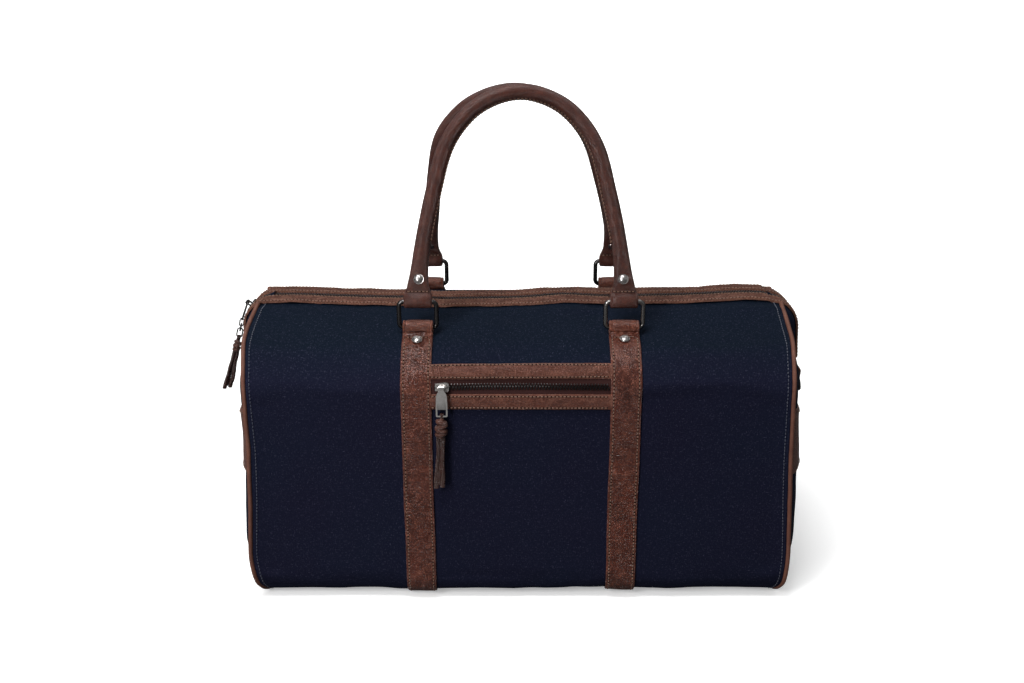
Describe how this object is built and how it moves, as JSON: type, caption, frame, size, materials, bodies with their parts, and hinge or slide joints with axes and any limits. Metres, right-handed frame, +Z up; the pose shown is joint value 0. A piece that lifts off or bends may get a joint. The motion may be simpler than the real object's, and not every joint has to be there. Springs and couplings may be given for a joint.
{
  "type": "weekender_bag",
  "caption": "Navy canvas weekender bag with brown leather straps, rolled handles on metal rings, a zipped mouth and a zipped front pocket",
  "frame": {"origin": "centre of the flat underside, which is where the bag stands", "axes": "+X along the bag towards its right end, +Y from the front face with the pocket to the back, +Z up"},
  "size_m": [0.5806, 0.2496, 0.475],
  "materials": {
    "canvas": "plain-weave navy cotton canvas, matte",
    "brown_leather": "pebbled mid-brown leather, stitched edges",
    "dark_leather": "smooth dark red-brown leather with a soft sheen",
    "nickel": "antiqued nickel",
    "gunmetal": "dark gunmetal plating",
    "zip_tape": "brown woven zip tape",
    "lining": "plain tan cotton twill",
    "board": "stiff fibre board"
  },
  "bodies": {
    "bag": {"front_panel": "canvas", "back_panel": "canvas", "base_panel": "canvas", "base_board": "board", "lining": "lining", "end_panel_left": "canvas", "end_panel_right": "canvas", "end_patch_left": "brown_leather", "end_patch_right": "brown_leather", "piping_left": "brown_leather", "piping_right": "brown_leather", "zip_band_front": "brown_leather", "zip_band_back": "brown_leather", "zip_tape_front": "zip_tape", "zip_tape_back": "zip_tape", "zip_teeth_front": "gunmetal", "zip_teeth_back": "gunmetal", "strap_front_left": "brown_leather", "strap_front_right": "brown_leather", "strap_back_left": "brown_leather", "strap_back_right": "brown_leather", "strap_rivet_front_left": "nickel", "strap_rivet_front_right": "nickel", "strap_rivet_back_left": "nickel", "strap_rivet_back_right": "nickel", "dring_chape_left": "brown_leather", "dring_chape_right": "brown_leather", "pocket_welt_upper": "brown_leather", "pocket_welt_lower": "brown_leather", "pocket_tape_upper": "zip_tape", "pocket_tape_lower": "zip_tape", "pocket_teeth_upper": "gunmetal", "pocket_teeth_lower": "gunmetal", "pocket_pouch": "lining"},
    "front_rings": {"ring_front_left": "gunmetal", "ring_front_right": "gunmetal"},
    "back_rings": {"ring_back_left": "gunmetal", "ring_back_right": "gunmetal"},
    "front_handle": {"handle_front": "dark_leather", "handle_rivet_front_left": "nickel", "handle_rivet_front_right": "nickel"},
    "back_handle": {"handle_back": "dark_leather", "handle_rivet_back_left": "nickel", "handle_rivet_back_right": "nickel"},
    "zip_slider_body": {"zip_slider": "gunmetal"},
    "zip_pull_body": {"zip_pull": "nickel"},
    "zip_tassel_body": {"zip_pull_link": "gunmetal", "zip_tassel": "dark_leather"},
    "pocket_slider_body": {"pocket_slider": "nickel"},
    "pocket_pull_body": {"pocket_pull": "nickel"},
    "pocket_tassel_body": {"pocket_tassel": "dark_leather"},
    "dring_left_body": {"dring_left": "gunmetal"},
    "dring_right_body": {"dring_right": "gunmetal"}
  },
  "joints": [
    {"name": "front_rings_tilt", "type": "hinge", "parent": "bag", "child": "front_rings", "pos_m": [0, -0.076, 0.2605], "axis": [1, 0, 0], "range_deg": [0, 70]},
    {"name": "front_handle_fold", "type": "hinge", "parent": "front_rings", "child": "front_handle", "pos_m": [0, -0.076, 0.285], "axis": [1, 0, 0], "range_deg": [0, 80]},
    {"name": "back_rings_tilt", "type": "hinge", "parent": "bag", "child": "back_rings", "pos_m": [0, 0.076, 0.2605], "axis": [-1, 0, 0], "range_deg": [0, 70]},
    {"name": "back_handle_fold", "type": "hinge", "parent": "back_rings", "child": "back_handle", "pos_m": [0, 0.076, 0.285], "axis": [-1, 0, 0], "range_deg": [0, 80]},
    {"name": "zip_slider_turn", "type": "hinge", "parent": "bag", "child": "zip_slider_body", "pos_m": [-0.2425, 0, 0.2445], "axis": [0, 1, 0], "range_deg": [0, 41]},
    {"name": "zip_pull_swing", "type": "hinge", "parent": "zip_slider_body", "child": "zip_pull_body", "pos_m": [-0.26944, 0, 0.26267], "axis": [0, 1, 0], "range_deg": [0, 75]},
    {"name": "zip_tassel_swing", "type": "hinge", "parent": "zip_pull_body", "child": "zip_tassel_body", "pos_m": [-0.27641, 0, 0.24398], "axis": [0, 1, 0], "range_deg": [0, 25]},
    {"name": "pocket_slider_run", "type": "slide", "parent": "bag", "child": "pocket_slider_body", "axis": [1, 0, 0], "range_m": [0, 0.142]},
    {"name": "pocket_pull_swing", "type": "hinge", "parent": "pocket_slider_body", "child": "pocket_pull_body", "pos_m": [-0.0714, -0.12503, 0.21905], "axis": [-1, 0, 0], "range_deg": [0, 110]},
    {"name": "pocket_tassel_swing", "type": "hinge", "parent": "pocket_pull_body", "child": "pocket_tassel_body", "pos_m": [-0.0714, -0.1253, 0.19225], "axis": [-1, 0, 0], "range_deg": [0, 45]},
    {"name": "dring_left_swing", "type": "hinge", "parent": "bag", "child": "dring_left_body", "pos_m": [-0.2755, 0, 0.1935], "axis": [0, -1, 0], "range_deg": [0, 12]},
    {"name": "dring_right_swing", "type": "hinge", "parent": "bag", "child": "dring_right_body", "pos_m": [0.2755, 0, 0.1935], "axis": [0, -1, 0], "range_deg": [0, 150]}
  ]
}
